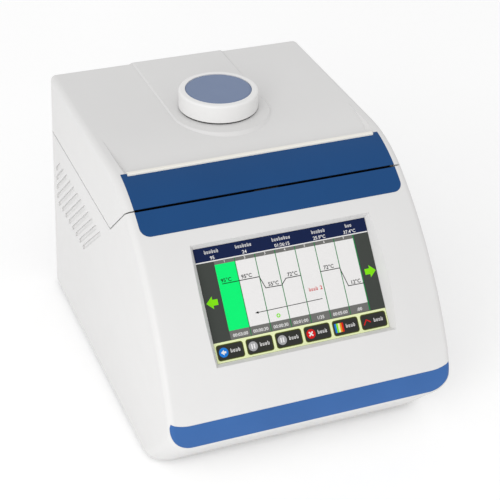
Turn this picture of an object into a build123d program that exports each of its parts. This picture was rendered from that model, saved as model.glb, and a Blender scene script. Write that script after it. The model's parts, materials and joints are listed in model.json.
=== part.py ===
from build123d import *
import os
from math import atan, cos, degrees, pi, radians, sin, sqrt, tan

# A bench-top thermal cycler for 96 small tubes.
# Row frame, millimetres: X across, Y from front (-) to rear (+), Z up.
# The origin is on the table, under the middle of the machine.

os.makedirs("parts", exist_ok=True)

# ---------------------------------------------------------------- driving dimensions
REAR_Y = 193.0            # rear face of the casing
LIP_Y = -193.0            # front lip of the casing
LID_TOP_Z = 250.0         # flat top of the lid
BODY_BOTTOM_Z = 4.0       # lower edge of the casing, held up by the feet
HALF_WIDTH_TOP = 136.5    # half width at the lid's top
HALF_WIDTH_BASE = 141.3   # half width at the lower edge
WALL = 3.0                # thickness of the moulded shells
EDGE_R = 6.0              # round along every outer edge

# side outline: a flat lid top that runs into three tangent arcs down to the lip
CROWN_R, CROWN_END = 125.0, 34.4
FACE_R, FACE_END = 343.0, 63.0
CHIN_R = 93.0
LIP_BOTTOM_Z = 55.2       # lower edge of the lip
UNDERSIDE_Y = -143.5      # where the rising underside meets the flat bottom
LIP_CORNER_R = 22.0       # round at the two lower corners of the lip

# parting between lid and base
SEAM_Z = 187.6            # lower edge of the lid
SEAM_GAP = 1.2            # open joint under the lid
TIP_Y = -17.0             # front end of the level seam
SEAM_SLOPE = 42.6         # rise of the seam towards the front, degrees
HINGE_R = 9.0             # round of the lid's rear lower edge, about the hinge axis
HINGE_Y = REAR_Y - HINGE_R
HINGE_Z = SEAM_Z + HINGE_R
HINGE_X = 80.0            # hinges at plus and minus this

# blue inlays
INLAY = 2.0               # thickness of the blue mouldings
BAND_HALF_WIDTH = 129.0
BAND_TOP_Y = -25.3
BAND_LOW_Y, BAND_LOW_Z = -87.3, 216.0
BAND_CORNER_R = 9.5
BAND_EDGE_GAP = 0.6       # each half of the band stands back from the seam
LIP_TRIM_HALF = 123.0     # cream trim along the band's upper edge
STRIP_HALF_TOP, STRIP_TOP_Z = 119.0, 80.2
STRIP_TIP_X, STRIP_TIP_Z = 138.4, 85.4
STRIP_LOW_Z, STRIP_CURL_R = 57.2, 21.0

# lid top
DISH_START_Y = 45.0       # the lid dips in front of this line
DISH_R = 350.0
DISH_HALF = 127.0
TONGUE_HALF = 48.0        # raised tongue that carries the knob
TONGUE_NOSE_Y = 60.0      # centre of its round nose
TONGUE_Z = 251.5

# screen
SCREEN_Y, SCREEN_Z = -130.7, 160.7
SCREEN_TILT = 49.7        # slope of the screen, degrees from level
SCREEN_W, SCREEN_H = 169.6, 104.3
WINDOW_MARGIN = 7.0

# sample block, knob and heated plate share this axis
AXIS_Y = 66.5
WELL_PITCH = 9.0
WELL_COLUMNS, WELL_ROWS = 12, 8
BLOCK_TOP_Z = 186.0
BLOCK_BASE_Z = 164.0
KNOB_R = 39.0
KNOB_TOP_Z = 271.0
KNOB_BASE_Z = 253.2
DISC_R = 32.7
SCREW_R = 6.0
RUN = 0.06                # radial clearance of the running fits
PLATE_TRAVEL = 6.0        # fall of the heated plate over two turns of the knob

# cooling
SINK_HALF_X, SINK_HALF_Y = 75.0, 48.0
SINK_TOP_Z, SINK_BASE_Z, FIN_LOW_Z = 160.0, 151.0, 106.0
FIN_COUNT, FIN_PITCH, FIN_THICK = 17, 5.7, 1.6
FAN_SIZE, FAN_HEIGHT, FAN_BORE_R = 70.0, 15.0, 33.5
FAN_X = 36.5
FAN_LOW_Z = 88.0
FAN_HUB_R = 12.0
BLADES = 7

# side louvres
LOUVRE_COUNT, LOUVRE_PITCH, LOUVRE_WIDTH = 13, 13.0, 4.2
LOUVRE_TOP_Y, LOUVRE_TOP_Z, LOUVRE_LOW_Z = 16.0, 163.0, 109.0
LOUVRE_RUN = 63.0         # shift to the rear from a slot's upper to its lower end
LOUVRE_REAR_Y = 177.0
LOUVRE_WALL = 1.4         # the wall is thinner round the slots

WIDE = 170.0              # half width of tools that pass right across the casing
TAPER = (HALF_WIDTH_BASE - HALF_WIDTH_TOP) / (LID_TOP_Z - BODY_BOTTOM_Z)
UNDER_SLOPE = (BODY_BOTTOM_Z - LIP_BOTTOM_Z) / (UNDERSIDE_Y - LIP_Y)
UNDER_STRETCH = sqrt(1 + UNDER_SLOPE ** 2)


# ---------------------------------------------------------------- helpers
def block(x0, x1, y0, y1, z0, z1):
    """A box between two corners."""
    size = Box(x1 - x0, y1 - y0, z1 - z0)
    return Pos((x0 + x1) / 2, (y0 + y1) / 2, (z0 + z1) / 2) * size


def rod(x, y, z0, z1, radius):
    """An upright cylinder."""
    return Pos(x, y, (z0 + z1) / 2) * Cylinder(radius, z1 - z0)


def rod_x(x0, x1, y, z, radius):
    """A cylinder along X."""
    return Pos((x0 + x1) / 2, y, z) * Rot(0, 90, 0) * Cylinder(radius, x1 - x0)


def rod_y(x, y0, y1, z, radius):
    """A cylinder along Y."""
    return Pos(x, (y0 + y1) / 2, z) * Rot(90, 0, 0) * Cylinder(radius, y1 - y0)


def across(edges, half_width=WIDE):
    """Extrude a closed outline, drawn as (Y, Z), across the machine."""
    return extrude(Plane.YZ * make_face(edges), amount=half_width, both=True)


def polygon_across(points, half_width=WIDE):
    """Extrude a closed polygon of (Y, Z) points across the machine."""
    return across(Polyline(*points, close=True).edges(), half_width)


def half_width(z):
    """Half width of the casing at height z."""
    return HALF_WIDTH_BASE - TAPER * (z - BODY_BOTTOM_Z)


def both_sides(part):
    """A part and its mirror image in the machine's middle plane."""
    return [part, mirror(part, about=Plane.YZ)]


# ---------------------------------------------------------------- casing outline
FACE_RUN = FACE_R * (sin(radians(FACE_END)) - sin(radians(CROWN_END)))
CROWN_Y = LIP_Y + CROWN_R * sin(radians(CROWN_END)) + FACE_RUN + CHIN_R * (1 - sin(radians(FACE_END)))


def on_arc(centre, radius, slope):
    """Point of an arc where its tangent falls at this slope, in degrees, towards the front."""
    return centre[0] - radius * sin(radians(slope)), centre[1] + radius * cos(radians(slope))


CROWN_C = (CROWN_Y, LID_TOP_Z - CROWN_R)
FACE_C = on_arc(on_arc(CROWN_C, CROWN_R, CROWN_END), -FACE_R, CROWN_END)
CHIN_C = on_arc(on_arc(FACE_C, FACE_R, FACE_END), -CHIN_R, FACE_END)


def side_outline(inset):
    """Closed outline of the casing seen from the side, moved in by inset."""
    top = LID_TOP_Z - inset
    crown_mid = on_arc(CROWN_C, CROWN_R - inset, CROWN_END / 2)
    crown_end = on_arc(CROWN_C, CROWN_R - inset, CROWN_END)
    face_mid = on_arc(FACE_C, FACE_R - inset, (CROWN_END + FACE_END) / 2)
    face_end = on_arc(FACE_C, FACE_R - inset, FACE_END)
    chin_mid = on_arc(CHIN_C, CHIN_R - inset, (FACE_END + 90) / 2)
    chin_end = on_arc(CHIN_C, CHIN_R - inset, 90)
    rise = inset * UNDER_STRETCH
    lip_low = (LIP_Y + inset, LIP_BOTTOM_Z + rise + UNDER_SLOPE * inset)
    bottom = BODY_BOTTOM_Z + inset
    under = (UNDERSIDE_Y + (inset - rise) / UNDER_SLOPE, bottom)
    return [
        Line((REAR_Y - inset, bottom), (REAR_Y - inset, top)),
        Line((REAR_Y - inset, top), (CROWN_Y, top)),
        ThreePointArc((CROWN_Y, top), crown_mid, crown_end),
        ThreePointArc(crown_end, face_mid, face_end),
        ThreePointArc(face_end, chin_mid, chin_end),
        Line(chin_end, lip_low),
        Line(lip_low, under),
        Line(under, (REAR_Y - inset, bottom)),
    ]


def lip_corner(inset):
    """Cutter that rounds the lip's lower right corner and runs out along the underside."""
    lean = atan(TAPER)
    radius = LIP_CORNER_R - inset
    z = LIP_BOTTOM_Z + inset * UNDER_STRETCH
    x = half_width(z) - inset / cos(lean)
    reach = radius / tan((pi / 2 - lean) / 2)
    low = (x - reach, z)
    high = (x - reach * sin(lean), z + reach * cos(lean))
    middle = (low[0] + radius * sin(pi / 4), z + radius * (1 - cos(pi / 4)))
    outline = [
        ThreePointArc(low, middle, high),
        Line(high, (x + 20, high[1])),
        Line((x + 20, high[1]), (x + 20, z - 15)),
        Line((x + 20, z - 15), (low[0], z - 15)),
        Line((low[0], z - 15), low),
    ]
    along = Vector(-TAPER * UNDER_SLOPE, 1, UNDER_SLOPE)
    start = along * -20
    face = Plane(origin=(0, LIP_Y, 0), x_dir=(1, 0, 0), z_dir=(0, -1, 0)) * make_face(outline)
    return extrude(Pos(*start) * face, amount=180 * along.length, dir=along.normalized())


def casing(inset=0.0):
    """Solid of the closed machine, moved in by inset, with its edges rounded."""
    side = across(side_outline(inset))
    shift = inset * sqrt(1 + TAPER ** 2)
    x_low = half_width(0) - shift
    x_high = half_width(300) - shift
    outline = Polyline((-x_low, 0), (x_low, 0), (x_high, 300), (-x_high, 300), close=True).edges()
    front = extrude(Plane.XZ * make_face(outline), amount=260, both=True)
    solid = side & front
    for cutter in both_sides(lip_corner(inset)):
        solid -= cutter
    edges = solid.edges().filter_by(lambda e: e.center().Z > LIP_BOTTOM_Z + inset * UNDER_STRETCH - 1)
    return fillet(edges, EDGE_R - inset)


OUTER = casing()
UNDER_INLAY = casing(INLAY)
INNER = casing(WALL)


# ---------------------------------------------------------------- parting
SEAM_UP = (-cos(radians(SEAM_SLOPE)), sin(radians(SEAM_SLOPE)))
SEAM_NORMAL = (sin(radians(SEAM_SLOPE)), cos(radians(SEAM_SLOPE)))


def at_seam(s, m):
    """Point (Y, Z), s up the sloping seam from its tip and m above it."""
    return TIP_Y + s * SEAM_UP[0] + m * SEAM_NORMAL[0], SEAM_Z + s * SEAM_UP[1] + m * SEAM_NORMAL[1]


def seam_bar(x0, x1, s0, s1, m0, m1):
    """A bar in the sloping seam's own directions."""
    corners = [at_seam(s0, m0), at_seam(s1, m0), at_seam(s1, m1), at_seam(s0, m1)]
    bar = polygon_across(corners, (x1 - x0) / 2)
    return Pos((x0 + x1) / 2, 0, 0) * bar


def seam_tip(offset):
    """Corner of the seam moved towards the lid by offset."""
    lean = radians(SEAM_SLOPE)
    return TIP_Y + offset * (1 - cos(lean)) / sin(lean), SEAM_Z + offset


def above_seam(offset=0.0, rear_round=True):
    """Everything above the parting, moved towards the lid by offset."""
    tip = seam_tip(offset)
    far = (tip[0] + 150 * SEAM_UP[0], tip[1] + 150 * SEAM_UP[1])
    foot = (HINGE_Y, SEAM_Z + offset)
    radius = HINGE_R - offset
    turn = radius * sin(pi / 4)
    rear = (HINGE_Y + radius, HINGE_Z)
    edges = [Line(foot, tip), Line(tip, far), Line(far, (far[0], 400))]
    edges.append(Line((far[0], 400), (REAR_Y + 40, 400)))
    if rear_round:
        edges.append(Line((REAR_Y + 40, 400), (REAR_Y + 40, HINGE_Z)))
        edges.append(Line((REAR_Y + 40, HINGE_Z), rear))
        edges.append(ThreePointArc(rear, (HINGE_Y + turn, HINGE_Z - turn), foot))
    else:
        edges.append(Line((REAR_Y + 40, 400), (REAR_Y + 40, SEAM_Z + offset)))
        edges.append(Line((REAR_Y + 40, SEAM_Z + offset), foot))
    return across(edges)


def below_seam(offset):
    """Everything below the parting, moved towards the base by offset."""
    return block(-WIDE, WIDE, -300, 300, -50, 400) - above_seam(-offset, rear_round=False)


ABOVE = above_seam()
BELOW = below_seam(SEAM_GAP)


# ---------------------------------------------------------------- cutting tools for the casing
def screen_plane(depth=0.0):
    """Plane of the screen's face, moved out of the machine by depth."""
    lean = radians(SCREEN_TILT)
    normal = Vector(0, -sin(lean), cos(lean))
    origin = Vector(0, SCREEN_Y, SCREEN_Z) + normal * depth
    return Plane(origin=origin, x_dir=(1, 0, 0), z_dir=normal)


def screen_box(width, height, low, high, corner=0.0):
    """A box on the screen's plane, from low to high along its normal."""
    outline = RectangleRounded(width, height, corner) if corner else Rectangle(width, height)
    return extrude(screen_plane(low) * outline, amount=high - low)


def base_band_tool():
    """Region of the band's lower half, with round lower corners."""
    lean = radians(CROWN_END + 2)
    normal = Vector(0, -sin(lean), cos(lean))
    up = Vector(0, cos(lean), sin(lean))
    height = 80.0
    centre = Vector(0, BAND_LOW_Y, BAND_LOW_Z) + up * height / 2
    plane = Plane(origin=centre - normal * 15, x_dir=(1, 0, 0), z_dir=normal)
    outline = RectangleRounded(2 * BAND_HALF_WIDTH, height, BAND_CORNER_R)
    return extrude(plane * outline, amount=30) & below_seam(SEAM_GAP + BAND_EDGE_GAP)


def strip_tool():
    """Region of the strip along the lip: straight, with ends that curl up to a point."""
    low_x = STRIP_TIP_X - STRIP_CURL_R
    curl_z = STRIP_LOW_Z + STRIP_CURL_R
    edges = [
        Line((-STRIP_HALF_TOP, STRIP_TOP_Z), (STRIP_HALF_TOP, STRIP_TOP_Z)),
        Line((-low_x, STRIP_LOW_Z), (low_x, STRIP_LOW_Z)),
    ]
    for side in (-1, 1):
        tip = (side * STRIP_TIP_X, STRIP_TIP_Z)
        curl = (side * STRIP_TIP_X, curl_z)
        edges.append(TangentArc((side * STRIP_HALF_TOP, STRIP_TOP_Z), tip, tangent=(side, 0)))
        edges.append(TangentArc((side * low_x, STRIP_LOW_Z), curl, tangent=(side, 0)))
        edges.append(Line(curl, tip))
    face = Plane(origin=(0, LIP_Y + 5, 0), x_dir=(1, 0, 0), z_dir=(0, -1, 0)) * make_face(edges)
    return extrude(face, amount=16)


def louvre_tool(width=LOUVRE_WIDTH, shift=0.0):
    """All the slots of one side, as bars that pass through the side wall."""
    slots = []
    rise = LOUVRE_TOP_Z - LOUVRE_LOW_Z
    length = sqrt(rise ** 2 + LOUVRE_RUN ** 2)
    for i in range(LOUVRE_COUNT):
        top_y = LOUVRE_TOP_Y + i * LOUVRE_PITCH
        share = min(1.0, (LOUVRE_REAR_Y - top_y) / LOUVRE_RUN)
        if share * length < 3 * LOUVRE_WIDTH:
            continue
        middle_y = top_y + share * LOUVRE_RUN / 2
        middle_z = LOUVRE_TOP_Z - share * rise / 2
        slot = SlotOverall(share * length, width)
        turned = Rot(0, 0, degrees(atan(-rise / LOUVRE_RUN))) * slot
        placed = Plane(origin=(125, middle_y + shift, middle_z), x_dir=(0, 1, 0), z_dir=(1, 0, 0)) * turned
        slots.append(extrude(placed, amount=30))
    return slots


def dish(sink=0.0):
    """Air above the dip in the lid's top, moved down by sink."""
    edge_z = LID_TOP_Z - sink
    front_y = BAND_TOP_Y + 0.8
    drop = DISH_R - sqrt(DISH_R ** 2 - (DISH_START_Y - front_y) ** 2)
    mid_y = (DISH_START_Y + front_y) / 2
    mid_drop = DISH_R - sqrt(DISH_R ** 2 - (DISH_START_Y - mid_y) ** 2)
    start = (DISH_START_Y, edge_z)
    front = (front_y, edge_z - drop)
    along = across([
        ThreePointArc(start, (mid_y, edge_z - mid_drop), front),
        Line(front, (front_y, LID_TOP_Z + 20)),
        Line((front_y, LID_TOP_Z + 20), (DISH_START_Y, LID_TOP_Z + 20)),
        Line((DISH_START_Y, LID_TOP_Z + 20), start),
    ], DISH_HALF + sink)
    rim = 14.0
    side = DISH_HALF + sink
    floor_z = edge_z - 8
    tray = [
        Line((-side + rim, floor_z), (side - rim, floor_z)),
        TangentArc((side - rim, floor_z), (side, edge_z + 1), tangent=(1, 0)),
        Line((side, edge_z + 1), (side, edge_z + 30)),
        Line((side, edge_z + 30), (-side, edge_z + 30)),
        Line((-side, edge_z + 30), (-side, edge_z + 1)),
        TangentArc((-side + rim, floor_z), (-side, edge_z + 1), tangent=(-1, 0)),
    ]
    return along & extrude(Plane.XZ * make_face(tray), amount=150, both=True)


def tongue():
    """Raised tongue on the lid's top, with a round nose and sloping flanks."""
    root_z = LID_TOP_Z - 6
    grow = TONGUE_Z - root_z
    half = TONGUE_HALF + grow
    rear = REAR_Y + 20
    outline = Pos(0, (TONGUE_NOSE_Y + rear) / 2) * Rectangle(2 * half, rear - TONGUE_NOSE_Y)
    outline += Pos(0, TONGUE_NOSE_Y) * Circle(half)
    prism = extrude(Pos(0, 0, root_z) * outline, amount=grow + 2, taper=45)
    return prism & Pos(0, 0, TONGUE_Z - LID_TOP_Z) * OUTER


DISH = dish()
TONGUE = tongue()
STRIP = strip_tool()
BASE_BAND = base_band_tool()
LID_BAND = block(-BAND_HALF_WIDTH, BAND_HALF_WIDTH, -80, BAND_TOP_Y, 200, 260) & above_seam(BAND_EDGE_GAP)
OPEN_JOINT = seam_bar(-BAND_HALF_WIDTH, BAND_HALF_WIDTH, 50, 110, -SEAM_GAP - BAND_EDGE_GAP, BAND_EDGE_GAP)
SEAL_SEAT = seam_bar(-127, 127, 50, 70, 0, 2) & UNDER_INLAY
LOUVRE_FIELD = block(125, 145, 6, 186, 100, 172)


# ---------------------------------------------------------------- casing mouldings
DECK_Z = 185.4            # top of the deck round the block
DECK_THICK = 3.0
DECK_X, DECK_FRONT_Y, DECK_REAR_Y = 119.7, -4.7, 170.0
PANEL_X, PANEL_LOW_Z, PANEL_HIGH_Z = 122.0, 16.0, 170.0
PANEL_LEDGE = 8.0         # the housing reaches this far behind the panel's edge
PANEL_Y, PANEL_THICK = 188.0, 2.0
ARM_HALF, ARM_LOW_Y, ARM_HIGH_Y = 12.0, 178.5, 185.5
BARREL_R, PIN_R = 5.5, 2.5
SCREW_POSTS = [(x, y) for x in (-126, 126) for y in (-72, 20, 150)]
LATCH_X = 40.0            # hooks of the latch bar at plus and minus this
FOOT_X, FOOT_FRONT_Y, FOOT_REAR_Y = 106.0, -104.0, 172.0
TRAY_FRONT_Y = -82.0      # the housing has its own floor in front of this


def base_housing():
    """White upper moulding of the base, open below and behind."""
    solid = OUTER & BELOW
    cavity = INNER & below_seam(SEAM_GAP + WALL)
    shell = solid - cavity
    shell -= block(-138, 138, TRAY_FRONT_Y, 189.8, -5, BODY_BOTTOM_Z + WALL + 0.1)
    shell -= block(-DECK_X - 0.2, DECK_X + 0.2, DECK_FRONT_Y - 0.2, DECK_REAR_Y + 0.2, 180, 190)
    shell += block(-PANEL_X - 5, PANEL_X + 5, ARM_HIGH_Y, REAR_Y - WALL, PANEL_LOW_Z - 5, 180)
    shell -= block(-PANEL_X - 0.3, PANEL_X + 0.3, PANEL_Y, 200, PANEL_LOW_Z - 0.3, PANEL_HIGH_Z + 0.3)
    edge_x = PANEL_X - PANEL_LEDGE
    shell -= block(-edge_x, edge_x, 180, 200, PANEL_LOW_Z + PANEL_LEDGE, PANEL_HIGH_Z - PANEL_LEDGE)
    for x, z in panel_screw_places():
        shell -= rod_y(x, 180, 200, z, 1.6)
    seat_z = DECK_Z - DECK_THICK
    ledge = block(-DECK_X - 4, DECK_X + 4, DECK_FRONT_Y - 4, DECK_REAR_Y + 4, seat_z - 3, seat_z + 1.2)
    ledge -= block(-DECK_X - 0.2, DECK_X + 0.2, DECK_FRONT_Y - 0.2, DECK_REAR_Y + 0.2, seat_z, 190)
    ledge -= block(-DECK_X + 3, DECK_X - 3, DECK_FRONT_Y + 3, DECK_REAR_Y - 3, 170, 190)
    shell += ledge & cavity
    shell += screen_box(SCREEN_W + 2 * WINDOW_MARGIN, SCREEN_H + 2 * WINDOW_MARGIN, 0.1, 30, 6) & OUTER
    shell -= screen_box(SCREEN_W + 8.6, SCREEN_H + 8.6, -12, 0.1)
    shell -= screen_box(SCREEN_W, SCREEN_H, -5, 1)
    shell -= extrude(screen_plane(-0.1) * Rectangle(SCREEN_W, SCREEN_H), amount=14, taper=-30)
    shell -= BASE_BAND - UNDER_INLAY
    backing = (BASE_BAND & UNDER_INLAY) - casing(WALL + INLAY)
    shell += backing & solid
    shell -= STRIP - UNDER_INLAY
    shell += ((STRIP & UNDER_INLAY) - casing(WALL + INLAY)) & solid
    shell -= OPEN_JOINT
    for cutter in both_sides(LOUVRE_FIELD & casing(LOUVRE_WALL)):
        shell -= cutter
    for slot in louvre_tool():
        for cutter in both_sides(slot):
            shell -= cutter
    for x in (-HINGE_X, HINGE_X):
        shell -= block(x - ARM_HALF - 0.5, x + ARM_HALF + 0.5, 177.5, 186.5, 182, 190)
    for x in (-LATCH_X, LATCH_X):
        shell -= seam_bar(x - 5, x + 19, 43, 55, -6, 2)
    shell -= seam_bar(-14, 22, 43, 70, -2.8, 2)
    for x, y in SCREW_POSTS:
        x0, x1 = sorted((x, 1.15 * x))
        post = rod(x, y, 7, 30, 5) + block(x0, x1, y - 2, y + 2, 7, 30)
        shell += (post & INNER) - rod(x, y, 0, 24, 1.6)
    for x in (-FOOT_X, FOOT_X):
        shell -= rod(x, FOOT_FRONT_Y, 0, BODY_BOTTOM_Z + 1.2, 9.2)
    return shell


def louvre_guards():
    """White plates behind the louvres, with narrow slots along the front edge of each one."""
    guard = LOUVRE_FIELD & (casing(LOUVRE_WALL) - casing(LOUVRE_WALL + 1.2))
    for slot in louvre_tool(0.8, -2.5):
        guard -= slot
    return both_sides(guard)


def bottom_tray():
    """Plate that closes the base from below, with air slots under the fans."""
    plate = block(-137.6, 137.6, TRAY_FRONT_Y + 0.4, 189.4, BODY_BOTTOM_Z, BODY_BOTTOM_Z + WALL)
    for x in (-FAN_X, FAN_X):
        for i in range(-4, 5):
            reach = sqrt(FAN_BORE_R ** 2 - (7 * i) ** 2)
            slot = SlotOverall(2 * reach, 3.6)
            plate -= extrude(Pos(x, AXIS_Y + 7 * i, 0) * slot, amount=12)
    for x, y in SCREW_POSTS:
        plate -= rod(x, y, 0, 12, 1.7)
        plate -= rod(x, y, 0, BODY_BOTTOM_Z + 1.4, 3.2)
    for x in (-FOOT_X, FOOT_X):
        plate -= rod(x, FOOT_REAR_Y, 0, BODY_BOTTOM_Z + 1.2, 9.2)
    return plate


def feet_places():
    """Centres of the four feet."""
    return [(x, y) for x in (-FOOT_X, FOOT_X) for y in (FOOT_FRONT_Y, FOOT_REAR_Y)]


def rubber_feet():
    """Four round feet, let into the floor."""
    foot = rod(0, 0, 0, BODY_BOTTOM_Z + 1.2, 9.0)
    foot = chamfer(foot.edges().group_by(Axis.Z)[0], 1.2)
    return [Pos(x, y, 0) * foot for x, y in feet_places()]


def tray_screws():
    """Pan-head screws that hold the tray to the housing's posts."""
    screw = rod(0, 0, BODY_BOTTOM_Z - 1.0, BODY_BOTTOM_Z + 1.4, 3.0)
    screw -= block(-2.2, 2.2, -0.4, 0.4, 0, BODY_BOTTOM_Z)
    screw -= block(-0.4, 0.4, -2.2, 2.2, 0, BODY_BOTTOM_Z)
    screw += rod(0, 0, BODY_BOTTOM_Z + 1.3, 20, 1.5)
    return [Pos(x, y, 0) * screw for x, y in SCREW_POSTS]


def top_deck():
    """Plate round the sample block, under the lid."""
    plate = block(-DECK_X, DECK_X, DECK_FRONT_Y, DECK_REAR_Y, DECK_Z - DECK_THICK, DECK_Z)
    plate -= block(-60, 60, AXIS_Y - 42, AXIS_Y + 42, 170, 200)
    rim = block(-63, 63, AXIS_Y - 45, AXIS_Y + 45, DECK_Z - 9, DECK_Z - 1)
    rim -= block(-60, 60, AXIS_Y - 42, AXIS_Y + 42, 170, 200)
    return plate + rim


def deck_gasket():
    """Silicone frame between the deck and the block."""
    ring = block(-59.8, 59.8, AXIS_Y - 41.8, AXIS_Y + 41.8, DECK_Z - 5, DECK_Z + 0.8)
    return ring - block(-56.2, 56.2, AXIS_Y - 38.2, AXIS_Y + 38.2, 170, 200)


def rear_panel():
    """Sheet panel let into the rear, with cut-outs and air slots."""
    panel = block(-PANEL_X, PANEL_X, PANEL_Y, PANEL_Y + PANEL_THICK, PANEL_LOW_Z, PANEL_HIGH_Z)
    panel -= block(INLET_X - 14, INLET_X + 14, 180, 200, INLET_Z - 28.5, INLET_Z + 28.5)
    panel -= block(SWITCH_X - 7.2, SWITCH_X + 7.2, 180, 200, SWITCH_Z - 10.2, SWITCH_Z + 10.2)
    for x in USB_XS:
        panel -= block(x - 7.6, x + 7.6, 180, 200, USB_Z - 4.1, USB_Z + 4.1)
    for i in range(9):
        slot = SlotOverall(84, 3.4)
        place = Plane(origin=(-52, 180, 40 + 8 * i), x_dir=(1, 0, 0), z_dir=(0, 1, 0))
        panel -= extrude(place * slot, amount=20)
    for x, z in panel_screw_places():
        panel -= rod_y(x, 180, 200, z, 1.7)
    return panel


def panel_screw_places():
    """Centres of the rear panel's screws."""
    return [(x, z) for x in (-118, 0, 118) for z in (PANEL_LOW_Z + 4, PANEL_HIGH_Z - 4)]


def panel_screws():
    """Screws of the rear panel."""
    outer = PANEL_Y + PANEL_THICK
    screw = rod_y(0, outer, outer + 1.8, 0, 3) - block(-2.2, 2.2, outer + 1, outer + 3, -0.4, 0.4)
    screw += rod_y(0, ARM_HIGH_Y + 0.5, outer + 0.1, 0, 1.6)
    return [Pos(x, 0, z) * screw for x, z in panel_screw_places()]


def base_band():
    """Blue inlay on the base, below the open joint."""
    return (BASE_BAND & OUTER) - UNDER_INLAY


def front_strip():
    """Blue inlay along the lip, with ends that curl up."""
    return (STRIP & OUTER) - UNDER_INLAY


# ---------------------------------------------------------------- display
def touch_glass():
    """Touch panel's cover glass."""
    return screen_box(SCREEN_W + 8, SCREEN_H + 8, -1.8, 0, 2)


def display_module():
    """Liquid crystal panel in its pressed frame."""
    module = screen_box(SCREEN_W + 10, SCREEN_H + 10, -8, -1.9)
    return module - screen_box(SCREEN_W + 2, SCREEN_H + 2, -3, -1.5)


def display_bracket():
    """Sheet frame that carries the panel and the main board."""
    frame = screen_box(SCREEN_W + 22, SCREEN_H + 12, -9.6, -8.1)
    frame -= screen_box(SCREEN_W - 30, SCREEN_H - 30, -12, -5)
    for x in (-80, 80):
        for y in (-45, 45):
            frame += extrude(screen_plane(-20) * Pos(x, y) * Circle(3), amount=11)
    return frame


def main_board():
    """Controller board behind the display, with its chips and connectors."""
    board = screen_box(172, 100, -21.7, -20.1)
    parts = [(0, 8, 26, 26, 2.4), (42, 18, 14, 20, 1.6), (42, -12, 14, 20, 1.6), (-46, 16, 18, 12, 3)]
    parts += [(-70, -25, 10, 30, 8), (-46, -22, 14, 14, 5), (66, -34, 22, 8, 6), (20, -36, 30, 6, 5)]
    for x, y, w, h, tall in parts:
        chip = Pos(x, y) * Rectangle(w, h)
        board += extrude(screen_plane(-21.6 - tall) * chip, amount=tall)
    return board


# ---------------------------------------------------------------- block and cooling
def sample_block():
    """Aluminium block with a grid of conical wells."""
    body = block(-56, 56, AXIS_Y - 38, AXIS_Y + 38, BLOCK_BASE_Z, BLOCK_TOP_Z)
    body += block(-66, 66, AXIS_Y - 46, AXIS_Y + 46, BLOCK_BASE_Z, BLOCK_BASE_Z + 4)
    for x, y in clamp_places():
        body -= rod(x, y, 160, 170, 1.6)
    depth = 14.5
    well = Pos(0, 0, BLOCK_TOP_Z - depth / 2 + 0.01) * Cone(1.3, 3.1, depth)
    wells = []
    for column in range(WELL_COLUMNS):
        for row in range(WELL_ROWS):
            x = (column - (WELL_COLUMNS - 1) / 2) * WELL_PITCH
            y = AXIS_Y + (row - (WELL_ROWS - 1) / 2) * WELL_PITCH
            wells.append(Pos(x, y, 0) * well)
    return body - wells


def thermal_pads():
    """Graphite sheets above and below the heat pumps."""
    upper = block(-57, 57, AXIS_Y - 39, AXIS_Y + 39, BLOCK_BASE_Z - 0.4, BLOCK_BASE_Z)
    lower = block(-57, 57, AXIS_Y - 39, AXIS_Y + 39, SINK_TOP_Z, SINK_TOP_Z + 0.4)
    return [upper, lower]


def heat_pumps():
    """Six thermoelectric modules under the block."""
    low, high = SINK_TOP_Z + 0.4, BLOCK_BASE_Z - 0.4
    module = block(-18, 18, -18, 18, low, low + 0.7) + block(-18, 18, -18, 18, high - 0.7, high)
    module += block(-17, 17, -17, 17, low + 0.6, high - 0.6)
    return [Pos(x, AXIS_Y + y, 0) * module for x in (-37.5, 0, 37.5) for y in (-19, 19)]


def heat_sink():
    """Aluminium heat sink with straight fins along X."""
    sink = block(-SINK_HALF_X, SINK_HALF_X, AXIS_Y - SINK_HALF_Y, AXIS_Y + SINK_HALF_Y, SINK_BASE_Z, SINK_TOP_Z)
    for x, y in clamp_places():
        sink -= rod(x, y, SINK_BASE_Z + 2, 170, 1.4)
    for i in range(FIN_COUNT):
        y = AXIS_Y + (i - (FIN_COUNT - 1) / 2) * FIN_PITCH
        fin = block(-SINK_HALF_X, SINK_HALF_X, y - FIN_THICK / 2, y + FIN_THICK / 2, FIN_LOW_Z, SINK_BASE_Z)
        sink += fin
    return sink


def clamp_places():
    """Centres of the screws that clamp the block to the heat sink."""
    return [(x, AXIS_Y + y) for x in (-61.5, 0, 61.5) for y in (-42.5, 42.5)]


def block_screws():
    """Clamp screws from the block's flange into the heat sink."""
    head_z = BLOCK_BASE_Z + 4
    screw = rod(0, 0, head_z, head_z + 2.6, 2.6) - rod(0, 0, head_z + 1.2, head_z + 5, 1.3)
    screw += rod(0, 0, SINK_TOP_Z - 6, head_z + 0.1, 1.4)
    return [Pos(x, y, 0) * screw for x, y in clamp_places()]


def fan_frame(x):
    """Square fan frame with struts and a bearing seat."""
    half = FAN_SIZE / 2
    frame = block(x - half, x + half, AXIS_Y - half, AXIS_Y + half, FAN_LOW_Z, FAN_LOW_Z + FAN_HEIGHT)
    frame -= rod(x, AXIS_Y, FAN_LOW_Z - 1, FAN_LOW_Z + FAN_HEIGHT + 1, FAN_BORE_R)
    for angle in (45, 135):
        strut = Pos(x, AXIS_Y, FAN_LOW_Z + 0.9) * Rot(0, 0, angle) * Box(2 * FAN_BORE_R + 4, 3.5, 1.8)
        frame += strut
    frame += rod(x, AXIS_Y, FAN_LOW_Z, FAN_LOW_Z + 2.2, FAN_HUB_R)
    for sx in (-1, 1):
        for sy in (-1, 1):
            hole = rod(x + sx * 30.5, AXIS_Y + sy * 30.5, FAN_LOW_Z - 1, FAN_LOW_Z + 30, 2.1)
            frame -= hole
    return frame - rod(x, AXIS_Y, FAN_LOW_Z - 1, FAN_LOW_Z + 4, 1.5 + RUN)


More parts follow.
